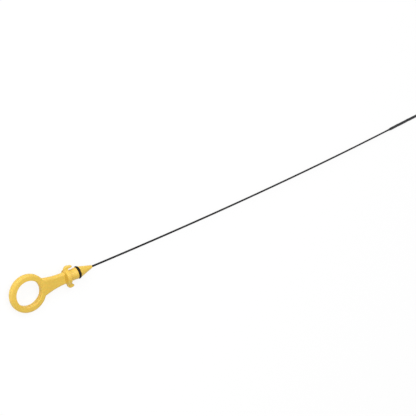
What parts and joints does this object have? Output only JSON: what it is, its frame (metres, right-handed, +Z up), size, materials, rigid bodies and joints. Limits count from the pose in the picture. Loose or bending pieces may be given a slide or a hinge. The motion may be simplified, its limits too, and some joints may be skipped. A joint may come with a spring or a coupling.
{
  "type": "engine oil dipstick",
  "caption": "Long thin wire dipstick with a moulded finger-ring handle, a flange with a clip hook and a catch, an O-ring sealed plug and a flattened measuring blade.",
  "frame": {"origin": "on the plug's axis, where the flange's front face seats on the dipstick tube", "axes": "+X along the plug's axis, from the ring towards the wire; +Z up as the dipstick lies at rest"},
  "size_m": [0.6364, 0.0396, 0.017],
  "materials": {
    "handle_plastic": "moulded, half gloss",
    "seal_rubber": "matt",
    "wire_steel": "phosphated, satin"
  },
  "bodies": {
    "root": {"handle": "handle_plastic", "o_ring": "seal_rubber", "wire": "wire_steel"}
  },
  "joints": []
}
